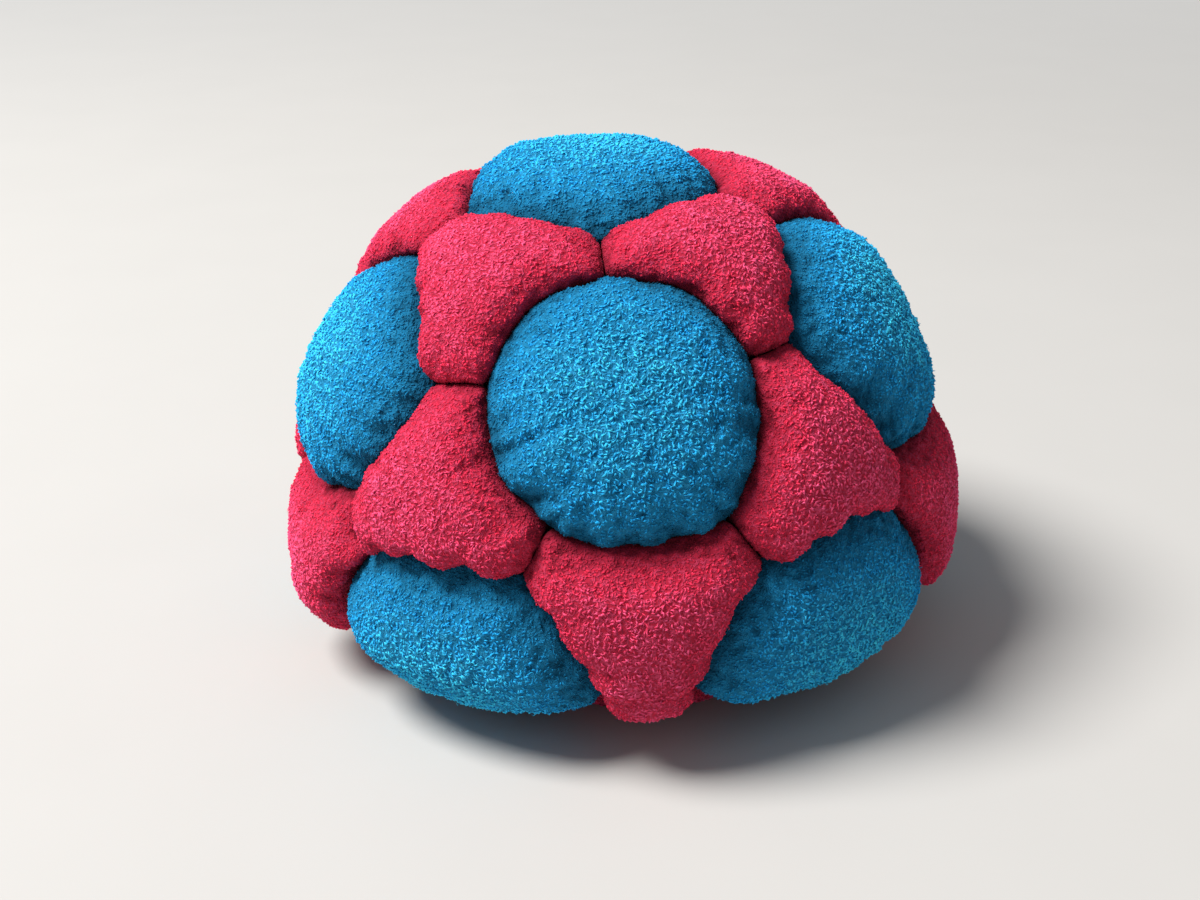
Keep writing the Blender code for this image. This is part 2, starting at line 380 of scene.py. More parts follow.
class Outline:
    """The resting bag's outline, and where directions from its middle land on it."""

    def __init__(self, shape):
        self.shape = shape
        half_width = shape.width / 2
        top_height = shape.height - shape.girth_height
        under_height = shape.girth_height + shape.rest_press
        turn = np.linspace(0.0, pi / 2, MERIDIAN_STEPS + 1)
        cosine = np.abs(np.cos(turn))
        over = np.column_stack((
            half_width * np.sin(turn) ** (2 / TOP_POWER),
            shape.girth_height + top_height * cosine ** (2 / TOP_POWER)))
        under = np.column_stack((
            half_width * cosine ** (2 / UNDER_POWER),
            shape.girth_height - under_height * np.sin(turn) ** (2 / UNDER_POWER)))
        line = np.vstack((over, under[1:]))
        step = np.diff(line, axis=0)
        band = (line[:-1, 0] + line[1:, 0]) * np.hypot(step[:, 0], step[:, 1])
        area = np.concatenate(((0.0,), np.cumsum(band)))
        self.polar = np.arccos(np.clip(1.0 - 2.0 * area / area[-1], -1.0, 1.0))
        self.radii = line[:, 0]
        self.heights = line[:, 1]

    def skin(self, directions):
        polar = np.arccos(np.clip(directions[:, 2], -1.0, 1.0))
        radius = np.interp(polar, self.polar, self.radii)
        height = np.interp(polar, self.polar, self.heights)
        across = np.maximum(np.hypot(directions[:, 0], directions[:, 1]), 1e-9)
        return np.column_stack((directions[:, :2] / across[:, None] * radius[:, None], height))

    def rays(self, skin):
        """The way out of the bag at points of its skin."""
        spread = CORE_SPREAD * (1.0 - np.minimum(skin[:, 2] / self.shape.height, 1.0)) ** 2
        core = np.column_stack((skin[:, :2] * spread[:, None], np.full(len(skin), CORE_HEIGHT)))
        return unit(skin - core)

    def place(self, directions, depth):
        """Points at a depth under the skin, sagged by the weight of the fill."""
        skin = self.skin(directions)
        rays = self.rays(skin)
        steepness = np.hypot(rays[:, 0], rays[:, 1])
        depth = np.broadcast_to(depth, len(skin))
        hang = np.clip(1.0 - depth / self.shape.groove, 0.0, None)
        drop = steepness * (self.shape.sag * hang - self.shape.overhang * (1.0 - hang))
        points = skin - rays * depth[:, None]
        points[:, 2] -= drop
        return points


# Panel pattern


def upright_axes(facing, above):
    up = (above - facing * above.dot(facing)).normalized()
    return Matrix((up.cross(facing), facing, up)).transposed()


def attitude(shape, pole, neighbour):
    """Turn that brings one blue centre to the front and its neighbour above it."""
    front = Vector((0.0, -cos(shape.front_elevation), sin(shape.front_elevation)))
    above = Matrix.Rotation(shape.front_roll, 3, front) @ Vector((0.0, 0.0, 1.0))
    return upright_axes(front, above) @ upright_axes(pole, neighbour).transposed()


def pattern(shape):
    """The panel pattern on the unit sphere, turned as the bag lies."""
    bm = bmesh.new()
    bmesh.ops.create_icosphere(bm, subdivisions=1, radius=1.0)
    top = Vector((0.0, 0.0, 1.0))
    ring = next(v.co.copy() for v in bm.verts if 0.1 < v.co.z < 0.9)
    bmesh.ops.bevel(
        bm, geom=bm.verts[:], offset=SEAM_END * 100, offset_type="PERCENT",
        affect="VERTICES", segments=1, profile=0.5, material=-1,
    )
    long_seams = [e for e in bm.edges if any(len(f.verts) == 5 for f in e.link_faces)]
    blue_centres = [f.calc_center_median().normalized() for f in bm.faces if len(f.verts) == 5]
    corner_reach = min(blue_centres[0].angle(vert.co) for vert in bm.verts)
    bmesh.ops.subdivide_edges(bm, edges=long_seams, cuts=SEAM_STEPS - 1)
    for vert in bm.verts:
        direction = vert.co.normalized()
        centre = min(blue_centres, key=direction.angle)
        reach = centre.angle(direction)
        if reach < corner_reach:
            bowed = reach + SEAM_BOW * (corner_reach - reach)
            direction = centre.slerp(direction, bowed / reach)
        vert.co = direction
    bmesh.ops.rotate(bm, verts=bm.verts, cent=(0, 0, 0), matrix=attitude(shape, top, ring))
    bm.normal_update()
    return bm


def is_corner(vert):
    return len(vert.link_edges) == 3


def seam_loop(face):
    """Directions round a panel: from a corner, or from the middle of a short seam."""
    verts = list(face.verts)
    count = len(verts)
    if count == 5 * SEAM_STEPS:
        start = next(i for i in range(count) if is_corner(verts[i]))
        return np.array([verts[(start + i) % count].co for i in range(count)])
    start = next(
        i for i in range(count) if is_corner(verts[i]) and is_corner(verts[(i + 1) % count]))
    middle = (verts[start].co + verts[(start + 1) % count].co).normalized()
    return np.array([middle] + [verts[(start + 1 + i) % count].co for i in range(count)])


def way_along(line):
    """How far along a line each of its points is."""
    return np.concatenate(((0.0,), np.cumsum(np.linalg.norm(np.diff(line, axis=0), axis=1))))


def at_way(line, way, at):
    return np.stack([np.interp(at, way, line[:, axis]) for axis in range(3)], axis=-1)


def even_loop(loop, count):
    """The same loop with its points an equal way apart."""
    closed = np.vstack((loop, loop[:1]))
    way = way_along(closed)
    return unit(at_way(closed, way, np.arange(count) / count * way[-1]))


def inset_loop(loop, inset):
    """The loop drawn in from the seam on all sides, with its corners rounded."""
    for _ in range(LOOP_SMOOTHING):
        loop = unit(0.5 * loop + 0.25 * (np.roll(loop, 1, axis=0) + np.roll(loop, -1, axis=0)))
    along = unit(np.roll(loop, -1, axis=0) - np.roll(loop, 1, axis=0))
    return unit(loop + unit(np.cross(loop, along)) * inset)


def at_share(loop, share):
    """Directions at shares of the way round an even loop."""
    place = share * len(loop)
    before = np.floor(place).astype(int)
    part = (place - before)[:, None]
    ahead = loop[(before + 1) % len(loop)]
    return unit(loop[before % len(loop)] * (1.0 - part) + ahead * part)


def stitches(shape, net):
    """Where stitches draw the seams in: at every corner, and between corners at a steady pitch."""
    draw = np.random.default_rng(7)
    places = []
    strengths = []
    for vert in net.verts:
        if is_corner(vert):
            places.append(np.array(vert.co))
            strengths.append(1.0)
    for start in [v for v in net.verts if is_corner(v)]:
        for edge in start.link_edges:
            run = [start, edge.other_vert(start)]
            while not is_corner(run[-1]):
                onward = next(e for e in run[-1].link_edges if e.other_vert(run[-1]) != run[-2])
                run.append(onward.other_vert(run[-1]))
            if run[-1].index < start.index:
                continue
            line = np.array([v.co for v in run])
            way = way_along(line)
            count = round(way[-1] * MEAN_RADIUS / shape.stitch_pitch)
            for step in range(1, count):
                at = (step + draw.uniform(-STITCH_SLIP, STITCH_SLIP)) / count * way[-1]
                places.append(at_way(line, way, at))
                strengths.append(draw.uniform(*STITCH_STRENGTHS))
    return unit(np.array(places)), np.array(strengths)


def seam_feet(directions, loop):
    """Distance to the seam and the nearest point of it, and the room that all of it leaves.

    The room is the distance close to the seam. Further in it falls behind, as the height of a
    blown-up panel does, and it has no ridge where two sides are equally near.
    """
    start = loop[None]
    step = np.roll(loop, -1, axis=0)[None] - start
    share = ((directions[:, None] - start) * step).sum(axis=2) / (step ** 2).sum(axis=2)
    feet = start + np.clip(share, 0.0, 1.0)[:, :, None] * step
    gaps = np.linalg.norm(directions[:, None] - feet, axis=2) * MEAN_RADIUS
    nearest = gaps.argmin(axis=1)
    rows = np.arange(len(directions))
    away = gaps[rows, nearest]
    lengths = np.linalg.norm(step, axis=2) * MEAN_RADIUS
    round_about = (lengths / np.maximum(gaps, NEAR_SEAM[0]) ** 4).sum(axis=1)
    room = (round_about / (pi / 2)) ** (-1 / 3)
    inside = np.clip((away - NEAR_SEAM[0]) / (NEAR_SEAM[1] - NEAR_SEAM[0]), 0.0, 1.0)
    return away, feet[rows, nearest], away + (room - away) * inside


# Panels as meshes


def disc_blank(rings):
    """Flat six-sided disc of even triangles, with a number of steps to each side."""
    bm = bmesh.new()
    bmesh.ops.create_circle(bm, cap_ends=True, cap_tris=True, segments=6, radius=1.0)
    bmesh.ops.subdivide_edges(bm, edges=bm.edges[:], cuts=rings - 1, use_grid_fill=True)
    return bm


def disc_places(points):
    """Ring, from 0 at the middle to 1 at the edge, and share of the way round, of disc points."""
    sector_angle = pi / 3
    turn = (np.arctan2(points[:, 1], points[:, 0]) - pi / 2) % (2 * pi)
    sector = np.minimum(np.floor(turn / sector_angle + 1e-9), 5)
    middle = pi / 2 + (sector + 0.5) * sector_angle
    ring = (points[:, 0] * np.cos(middle) + points[:, 1] * np.sin(middle)) / cos(sector_angle / 2)
    along = points[:, 1] * np.cos(middle) - points[:, 0] * np.sin(middle)
    part = 0.5 + along / (2.0 * np.maximum(ring, 1e-9) * sin(sector_angle / 2))
    return np.clip(ring, 0.0, 1.0), (sector + np.clip(part, 0.0, 1.0)) / 6 % 1.0


def reach_at(ring, kind, radius):
    """Reach of a ring: rings crowd at the edge, where the panel turns down into the groove."""
    turned = np.clip((1.0 - ring) / kind["edge_share"], 0.0, 1.0) * pi / 2
    from_seam = kind["edge"] * (1.0 - np.cos(turned) ** (2 / kind["power"]))
    edge_start = 1.0 - kind["edge"] / radius
    flat = ring / (1.0 - kind["edge_share"]) * edge_start
    return np.where(ring > 1.0 - kind["edge_share"], 1.0 - from_seam / radius, flat)


def puffed(shape, panel, directions):
    """A panel's skin: its directions, leaned with the groove, and its depth under the outline.

    It has a flat crown, a rounded edge and a dent at each stitch. On the upper side of a blue panel
    the edge draws back from the seam, and the crimson edges bulge over it. On its lower side its
    own lip hangs over them.
    """
    kind = panel.kind
    away, feet, room = seam_feet(directions, panel.loop)
    near = np.linalg.norm(feet[:, None] - panel.stitch_places[None], axis=2) * MEAN_RADIUS
    pulls = panel.stitch_strengths * np.exp(-(near / (STITCH_SPREAD * shape.stitch_pitch)) ** 2)
    low = np.clip(0.5 + (panel.centre[2] - feet[:, 2]) * LOW_SIDE, 0.0, 1.0)
    pulled = kind["pull"] * pulls.max(axis=1) * (HIGH_PULL + (1.0 - HIGH_PULL) * low)
    to_saddle = np.linalg.norm(feet[:, None] - panel.saddles[None], axis=2).min(axis=1) * MEAN_RADIUS
    saddle = np.exp(-(to_saddle / SADDLE_REACH) ** 4)
    groove = shape.groove - SADDLE_RISE * saddle
    foot = kind["foot"] + (SADDLE_FOOT - kind["foot"]) * saddle
    sunk = np.clip(0.5 + (panel.centre[2] - directions[:, 2]) * LOW_SIDE, 0.0, 1.0)
    wider = 1.0 + kind["low_edge"] * sunk + kind["high_edge"] * (1.0 - sunk)
    edge = kind["edge"] * (EDGE_SPREAD[0] + EDGE_SPREAD[1] * pulled) * wider
    share = np.clip(room / edge, 0.0, 1.0)
    rise = (1.0 - (1.0 - share) ** kind["power"]) ** (1.0 / foot)
    dent = shape.stitch_pull * pulled * np.exp(-(away / STITCH_REACH) ** 2) * rise
    lean = kind["high_lean"] + (1.0 + kind["low_lean"] - kind["high_lean"]) * low
    lean = shape.lean * kind["lean"] * lean + STITCH_TUCK * pulled
    lean *= np.clip(rise / LEAN_RISE, 0.0, 1.0) * np.exp(-(away / LEAN_REACH) ** 2) * (1.0 - saddle)
    leaned = directions + unit(directions - feet) * (lean / MEAN_RADIUS)[:, None]
    return unit(leaned), groove - (groove + kind["proud"]) * rise + dent


class SewnPanel:
    """One panel: its kind, its place in the pattern, its seam and the stitches near it."""

    def __init__(self, kind, face, places, strengths, saddles):
        self.kind = kind
        seam = even_loop(seam_loop(face), 6 * kind["rings"])
        self.centre = unit(seam.mean(axis=0))
        self.loop = inset_loop(seam, SEAM_GAP / 2 / MEAN_RADIUS)
        angles = np.arccos(np.clip(self.loop @ self.centre, -1.0, 1.0))
        self.radius = angles.mean() * MEAN_RADIUS
        near = np.linalg.norm(places - self.centre, axis=1) * MEAN_RADIUS < 2 * self.radius
        self.stitch_places = places[near]
        self.stitch_strengths = strengths[near]
        self.saddles = saddles

    def directions(self, ring, share):
        reach = reach_at(ring, self.kind, self.radius)
        return slerp(self.centre, at_share(self.loop, share), reach)


def panels_of(shape, kind_name):
    """The panels of one kind, each under the name of the node whose place it has."""
    net = pattern(shape)
    outline = Outline(shape)
    nodes = [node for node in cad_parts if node.startswith(kind_name)]
    middles = {node: sum(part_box(node), Vector()) / 2 for node in nodes}
    sides = 5 * SEAM_STEPS if kind_name == "blue" else 3 * SEAM_STEPS + 3
    places, strengths = stitches(shape, net)
    saddles = unit(np.array([
        (edge.verts[0].co + edge.verts[1].co) / 2 for edge in net.edges
        if is_corner(edge.verts[0]) and is_corner(edge.verts[1])]))
    panels = []
    for face in [f for f in net.faces if len(f.verts) == sides]:
        panel = SewnPanel(KINDS[kind_name], face, places, strengths, saddles)
        middle = Vector(outline.place(panel.centre[None], 0.001)[0])
        panel.name = min(middles, key=lambda node: (middles[node] - middle).length)
        del middles[panel.name]
        panels.append(panel)
    net.free()
    return sorted(panels, key=lambda panel: panel.name)


def mesh_from(bm, name):
    mesh = bpy.data.meshes.new(name)
    bm.to_mesh(mesh)
    return mesh


def add_object(name, data):
    made = bpy.data.objects.new(name, data)
    bpy.context.scene.collection.objects.link(made)
    return made


def read(items, field, width, kind=np.float32):
    """A field of all items of a mesh, with a row for each."""
    flat = np.empty(len(items) * width, kind)
    items.foreach_get(field, flat)
    return flat.reshape(-1, width).astype(float if kind is np.float32 else kind)


def points_of(mesh):
    return read(mesh.vertices, "co", 3)


def normals_of(mesh):
    return read(mesh.vertex_normals, "vector", 3)


def edges_of(mesh):
    return read(mesh.edges, "vertices", 2, np.int64)


def corners_of(mesh):
    """The vertex at each corner of each triangle."""
    return read(mesh.loops, "vertex_index", 1, np.int64).reshape(-1, 3)


def layer_values(mesh, name):
    return read(mesh.attributes[name].data, "value", 1)[:, 0]


def add_layer(mesh, name, values):
    layer = mesh.attributes.new(name, "FLOAT", "POINT")
    layer.data.foreach_set("value", values.astype(np.float32))


def set_points(mesh, points):
    mesh.vertices.foreach_set("co", points.astype(np.float32).ravel())
    mesh.update()


def panel_shape(shape, outline, panel, ring, share):
    """Points of a panel's skin, and how deep each is in the groove, from 0 to 1."""
    directions, depth = puffed(shape, panel, panel.directions(ring, share))
    crown = np.maximum(depth.min(), 0.0)
    deep = np.clip((depth - crown) / (shape.groove - crown), 0.0, 1.0)
    return outline.place(directions, depth), deep ** panel.kind["shade_power"]


def wander(shape, points):
    """Moves points with the fill's shifts, and lets them drift so that no seam is quite regular."""
    middle = np.array((0.0, 0.0, CORE_HEIGHT))
    large, small = DRIFT_SIZES
    drift = lump_vectors(points, large, 11) + 0.5 * lump_vectors(points, small, 21)
    rays = unit(points - middle)
    across = drift - rays * (drift * rays).sum(axis=1, keepdims=True)
    above = np.clip(points[:, 2:] / DRIFT_HEIGHT, 0.0, 1.0)
    moved = points + across * shape.wander * above
    for place, move in SHIFTS:
        near = np.exp(-((points - place) ** 2).sum(axis=1, keepdims=True) / SHIFT_REACH ** 2)
        moved += near * move
    return moved


def tufts(suede, points):
    """Height of the uneven ground under the strands, from 0 in a hollow to 1 on a tuft."""
    small = lumps(points, suede.tuft_size, 41)
    large = lumps(points, suede.tuft_size * TUFT_GROUPS, 51)
    return np.clip(0.5 + TUFT_SHARES[0] * small + TUFT_SHARES[1] * large, 0.0, 1.0)


def smoothed(points, edges, held, passes):
    """Points drawn towards their neighbours' mean, apart from the held ones."""
    count = np.bincount(edges.ravel(), minlength=len(points))[:, None]
    for _ in range(passes):
        total = np.zeros_like(points)
        np.add.at(total, edges[:, 0], points[edges[:, 1]])
        np.add.at(total, edges[:, 1], points[edges[:, 0]])
        points = np.where(held[:, None], points, 0.5 * points + 0.5 * total / count)
    return points


def settled_offsets(shape, suede, outline, panels):
    """How far the fill moves each point of the panels between their stitches, by simulation."""
    joined = bmesh.new()
    starts = []
    blank = disc_blank(panels[0].kind["rings"])
    rim = np.array([vert.is_boundary for vert in blank.verts])
    blank_mesh = mesh_from(blank, "blank")
    blank.free()
    ring, share = disc_places(points_of(blank_mesh))
    for panel in panels:
        starts.append(panel_shape(shape, outline, panel, ring, share)[0])
        set_points(blank_mesh, starts[-1] * SETTLE_SCALE)
        joined.from_mesh(blank_mesh)
    joined.verts.index_update()
    seams = [vert.index for vert in joined.verts if vert.is_boundary]
    mesh = mesh_from(joined, "settling")
    joined.free()
    cloth_piece = add_object("settling", mesh)
    cloth_piece.vertex_groups.new(name="seams").add(seams, 1.0, "REPLACE")
    cloth = cloth_piece.modifiers.new("Settling", "CLOTH")
    cloth.settings.vertex_group_mass = "seams"
    cloth.settings.use_pressure = True
    cloth.settings.uniform_pressure_force = suede.pressure
    cloth.settings.effector_weights.gravity = 0.0
    cloth.settings.shrink_min = -SPARE_CLOTH
    cloth.settings.quality = SETTLE_QUALITY
    cloth.settings.bending_stiffness = BENDING
    cloth.collision_settings.use_collision = False
    for step in range(1, suede.settle_frames + 1):
        bpy.context.scene.frame_set(step)
    moved = cloth_piece.evaluated_get(bpy.context.evaluated_depsgraph_get())
    points = points_of(moved.data) / SETTLE_SCALE
    bpy.data.objects.remove(cloth_piece)
    bpy.data.meshes.remove(mesh)
    bpy.context.scene.frame_set(1)
    offsets = []
    for panel, start in zip(panels, starts):
        offset = points[:len(start)] - start
        points = points[len(start):]
        taut = 1.0 - (1.0 - SLACK_TOP) * np.clip(start[:, 2:] / shape.height, 0.0, 1.0)
        offsets.append(smoothed(capped(offset) * taut, edges_of(blank_mesh), rim, COARSE_PASSES))
    bpy.data.meshes.remove(blank_mesh)
    return offsets


def capped(offset):
    """The same moves, none longer than the cap."""
    length = np.linalg.norm(offset, axis=1, keepdims=True)
    return offset * np.minimum(1.0, SETTLE_CAP / np.maximum(length, 1e-9))


def fine_blank(rings, offsets):
    """Flat disc as fine as the tufts need, which carries the settled moves of the coarse one."""
    bm = disc_blank(rings)
    moved = bm.verts.layers.float_vector.new("settled")
    bm.verts.ensure_lookup_table()
    for vert, offset in zip(bm.verts, offsets):
        vert[moved] = offset
    bmesh.ops.subdivide_edges(bm, edges=bm.edges[:], cuts=FINE_CUTS - 1, use_grid_fill=True)
    return bm


def skin_mesh(shape, suede, outline, panel, offsets):
    """Outside of one panel, with its nap, before its edge is turned in."""
    bm = fine_blank(panel.kind["rings"], offsets)
    rim = np.array([vert.is_boundary for vert in bm.verts])
    mesh = mesh_from(bm, panel.name)
    bm.free()
    ring, share = disc_places(points_of(mesh))
    moved = read(mesh.attributes["settled"].data, "vector", 3)
    moved = smoothed(moved, edges_of(mesh), rim, FINE_PASSES)
    points, deep = panel_shape(shape, outline, panel, ring, share)
    points = wander(shape, points + moved)
    set_points(mesh, points)
    ground = tufts(suede, points)
    inside = np.clip((1.0 - ring) / TUFT_FADE, 0.0, 1.0)
    height = (ground - TUFT_LEVEL) * suede.tuft_height * panel.kind["nap"] * inside
    points = points + normals_of(mesh) * height[:, None]
    points[:, 2] = np.maximum(points[:, 2], 0.0)
    set_points(mesh, points)
    mesh.attributes.remove(mesh.attributes["settled"])
    # Painted light and shade: lighter on the tufts than in the hollows, and darker down in the
    # groove
    lift = ground * (1.0 - GROOVE_SHADE * deep)
    for name, values in (("ring", ring), ("share", share), ("deep", deep), ("lift", lift)):
        add_layer(mesh, name, values)
    for name in ("strand", "along", "across", "tone"):
        add_layer(mesh, name, np.zeros(len(points)))
    return mesh


# Strands of nap


def strand_blank(count):
    """A number of like strands: thin three-sided spikes up the Z axis, from -0.5 to 0.5."""
    bm = bmesh.new()
    bmesh.ops.create_cone(
        bm, cap_ends=True, segments=3, radius1=1.0, radius2=0.5, depth=1.0,
        matrix=Matrix.Rotation(radians(20.0), 4, "Z"))
    sides = [edge for edge in bm.edges if abs(edge.verts[0].co.z - edge.verts[1].co.z) > 0.5]
    bmesh.ops.subdivide_edges(bm, edges=sides, cuts=STRAND_BENDS)
    tip = [vert for vert in bm.verts if vert.co.z > 0.49]
    bmesh.ops.pointmerge(bm, verts=tip, merge_co=(0.0, 0.0, 0.5))
    bmesh.ops.triangulate(bm, faces=bm.faces[:])
    one = mesh_from(bm, "strand")
    bm.free()
    bm = bmesh.new()
    bm.from_mesh(one)
    sizes = (len(bm.verts), len(bm.edges), len(bm.faces))
    made = 1
    while made < count:
        more = min(made, count - made)
        parts = [
            items[:more * size] for items, size in zip((bm.verts, bm.edges, bm.faces), sizes)]
        bmesh.ops.duplicate(bm, geom=sum(parts, []))
        made += more
    bm.to_mesh(one)
    bm.free()
    return one


def strand_roots(suede, skin, draw):
    """Evenly spread points of the skin off the seam, its normals there and how deep they are."""
    corners = corners_of(skin)
    points = points_of(skin)
    normals = normals_of(skin)
    ring = layer_values(skin, "ring")
    deep = layer_values(skin, "deep")
    corners = corners[ring[corners].max(axis=1) < STRAND_RIM]
    spans = points[corners[:, 1:]] - points[corners[:, :1]]
    areas = np.linalg.norm(np.cross(spans[:, 0], spans[:, 1]), axis=1) / 2
    tries = int(STRAND_TRIES * areas.sum() / suede.strand_spacing ** 2)
    faces = draw.choice(len(corners), tries, p=areas / areas.sum())
    weights = draw.dirichlet((1.0, 1.0, 1.0), tries)[:, :, None]
    roots = (points[corners[faces]] * weights).sum(axis=1)
    cells = np.floor(roots / suede.strand_spacing).astype(np.int64)
    _, kept = np.unique(cells, axis=0, return_index=True)
    corners = corners[faces[kept]]
    weights = weights[kept]
    return (
        roots[kept], unit((normals[corners] * weights).sum(axis=1)),
        (deep[corners] * weights[:, :, 0]).sum(axis=1))


def strand_mesh(suede, skin, draw, nap):
    """Short curled strands all over a skin, each a closed spike rooted under it."""
    roots, normals, deep = strand_roots(suede, skin, draw)
    count = len(roots)
    mesh = strand_blank(count)
    blank = points_of(mesh).reshape(count, -1, 3)
    along = blank[:, :, 2:] + 0.5
    stray = draw.random((count, 1, 1)) < STRAY_SHARE
    sway = lump_vectors(roots, STRAND_SWAY[0], 61) * STRAND_SWAY[1] + draw.normal(size=(count, 3))
    ahead = unit(np.cross(normals, sway))[:, None]
    up = normals[:, None]
    aside = np.cross(up, ahead)
    size = np.where(stray, STRAY_LENGTH, 1.0) * (1.0 - GROOVE_LENGTH * deep[:, None, None])
    length = suede.strand_length * draw.uniform(*STRAND_LENGTHS, (count, 1, 1)) * size
    rise = suede.strand_rise * nap * draw.uniform(*STRAND_RISES, (count, 1, 1)) * size
    turn = draw.uniform(*STRAND_TURN, (count, 1, 1)) * draw.choice((-1.0, 1.0), (count, 1, 1))
    angle = turn * along
    crest = draw.uniform(*STRAND_CRESTS, (count, 1, 1)) * pi
    middle = (
        roots[:, None]
        + ahead * length * np.sin(angle) / turn
        + aside * length * (1.0 - np.cos(angle)) / turn
        + up * (rise * np.sin(crest * along) - STRAND_SINK)
    )
    heading = (
        ahead * length * np.cos(angle) + aside * length * np.sin(angle)
        + up * rise * crest * np.cos(crest * along))
    beside = unit(np.cross(heading, up))
    over = unit(np.cross(beside, heading))
    width = suede.strand_width / 2 * draw.uniform(*STRAND_WIDTHS, (count, 1, 1))
    width = width * np.where(stray, STRAY_WIDTH, 1.0)
    points = middle + (beside * blank[:, :, :1] + over * blank[:, :, 1:2]) * width
    points[:, :, 2] = np.maximum(points[:, :, 2], 0.0)
    set_points(mesh, points.reshape(-1, 3))
    # Painted shade: a strand's random tone is darkened down in the groove and in the hollows between
    # tufts
    shade = draw.uniform(*STRAND_SHADES, count) * (1.0 - GROOVE_SHADE * deep)
    shade *= 1.0 - HOLLOW_SHADE * (1.0 - tufts(suede, roots))
    tone = np.floor(shade * (STRAND_TONES - 0.01))[:, None, None]
    light = tone / (STRAND_TONES - 1)
    # Painted light grows along each strand, from a shaded root to a highlit tip
    low, gain, power = STRAND_LIFT
    layers = {
        "strand": 1.0,
        "along": along,
        "across": blank[:, :, :1],
        "tone": tone + 0.04 * blank[:, :, 1:2],
        "lift": light * (low + gain * along ** power),
        "ring": 0.0,
        "share": 0.0,
        "deep": 0.0,
    }
    for name, values in layers.items():
        add_layer(mesh, name, np.broadcast_to(values, along.shape).ravel())
    return mesh


def turn_in(shape, outline, panel, mesh, strands):
    """Turns the edge in as a raw allowance and lines the panel, so that it is one closed wall.

    The strands of nap join it last.
    """
    wall = WALL / panel.radius
    seam = shape.groove + ALLOWANCE
    steps = [(1.0, seam, 1.03), (1.0 - wall, seam, None), (1.0 - wall, shape.groove, None)]
    steps += [(reach, None, None) for reach in LINING_REACHES]
    bm = bmesh.new()
    bm.from_mesh(mesh)
    ring_layer = bm.verts.layers.float["ring"]
    share_layer = bm.verts.layers.float["share"]
    rim = [edge for edge in bm.edges if edge.is_boundary]
    for reach, depth, outer_ring in steps:
        new = bmesh.ops.extrude_edge_only(bm, edges=rim)["geom"]
        verts = [item for item in new if isinstance(item, bmesh.types.BMVert)]
        rim = [item for item in new if isinstance(item, bmesh.types.BMEdge) and item.is_boundary]
        share = np.array([vert[share_layer] for vert in verts])
        directions = slerp(panel.centre, at_share(panel.loop, share), reach)
        if depth is None:
            directions, depth = puffed(shape, panel, directions)
            depth = depth + WALL
        points = wander(shape, outline.place(directions, depth))
        points[:, 2] = np.maximum(points[:, 2], 0.0 if outer_ring else WALL)
        for vert, point in zip(verts, points):
            vert.co = point
            vert[ring_layer] = outer_ring or -reach
    bmesh.ops.holes_fill(bm, edges=rim, sides=0)
    bmesh.ops.triangulate(bm, faces=[face for face in bm.faces if len(face.verts) > 3])
    bm.from_mesh(strands)
    bm.to_mesh(mesh)
    bm.free()
    map_faces(mesh, panel)


def map_faces(mesh, panel):
    """Lays the skin out flat as a round island, and the lining as a small one beside it.

    The strands lie on each other in one narrow strip for each tone.
    """
    ring = layer_values(mesh, "ring")
    share = layer_values(mesh, "share")
    spans = np.arccos(np.clip(panel.loop @ panel.centre, -1.0, 1.0))
    reach = np.abs(ring) * spans[(share * len(spans)).astype(int) % len(spans)] / spans.max()
    flat = np.column_stack((np.cos(2 * pi * share), np.sin(2 * pi * share))) * reach[:, None]
    triangles = corners_of(mesh)
    corners = triangles.ravel()
    lining = np.repeat((ring[triangles] < 0.0).any(axis=1), 3)[:, None]
    places = np.where(
        lining, LINING_MIDDLE + LINING_SIZE * flat[corners], SKIN_MIDDLE + SKIN_SIZE * flat[corners])
    left, low, wide, high = STRAND_MAP
    across = 0.5 + STRIP_FILL * layer_values(mesh, "across")
    tone = layer_values(mesh, "tone")
    strip = np.rint(tone)
    strips = np.column_stack((
        left + wide * (strip + across) / STRAND_TONES,
        low + high * (layer_values(mesh, "along") + tone - strip)))
    on_strand = layer_values(mesh, "strand")[corners, None] > 0.5
    places = np.where(on_strand, strips[corners], places)
    layer = mesh.uv_layers.new(name=BAKE_MAP)
    layer.uv.foreach_set("vector", places.astype(np.float32).ravel())
    for name in ("ring", "share", "deep", "along", "across", "tone"):
        mesh.attributes.remove(mesh.attributes[name])


def finish_piece(name, mesh, material, node):
    """Puts a finished mesh in the scene in the place of a node of the model."""
    mesh.materials.clear()
    mesh.materials.append(material)
    mesh.shade_smooth()
    piece = add_object(name, mesh)
    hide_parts(node)
    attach(piece, BODY)
    return piece


def build_panels(context, kind_name, material):
    shape = context.scene.footbag_shape
    suede = context.scene.footbag_suede
    outline = Outline(shape)
    panels = panels_of(shape, kind_name)
    offsets = settled_offsets(shape, suede, outline, panels)
    draw = np.random.default_rng(19)
    for panel, offset in zip(panels, offsets):
        mesh = skin_mesh(shape, suede, outline, panel, offset)
        turn_in(shape, outline, panel, mesh, strand_mesh(suede, mesh, draw, panel.kind["nap"]))
        piece = finish_piece(
            panel.name + "_skin", mesh, material, panel.name)


# Materials


def new_group(name, inputs, outputs):
    """Shader node group with named sockets, and its two ends."""
    tree = bpy.data.node_groups.new(name, "ShaderNodeTree")
    for socket, kind, default in inputs:
        made = tree.interface.new_socket(socket, in_out="INPUT", socket_type=kind)
        if default is not None:
            made.default_value = default
    for socket, kind in outputs:
        tree.interface.new_socket(socket, in_out="OUTPUT", socket_type=kind)
    return tree, tree.nodes.new("NodeGroupInput"), tree.nodes.new("NodeGroupOutput")


def feed(tree, node, inputs):
    """Gives each input of a node a value, or the output that feeds it."""
    for name, value in inputs.items():
        if isinstance(value, bpy.types.NodeSocket):
            tree.links.new(value, node.inputs[name])
        else:
            node.inputs[name].default_value = value


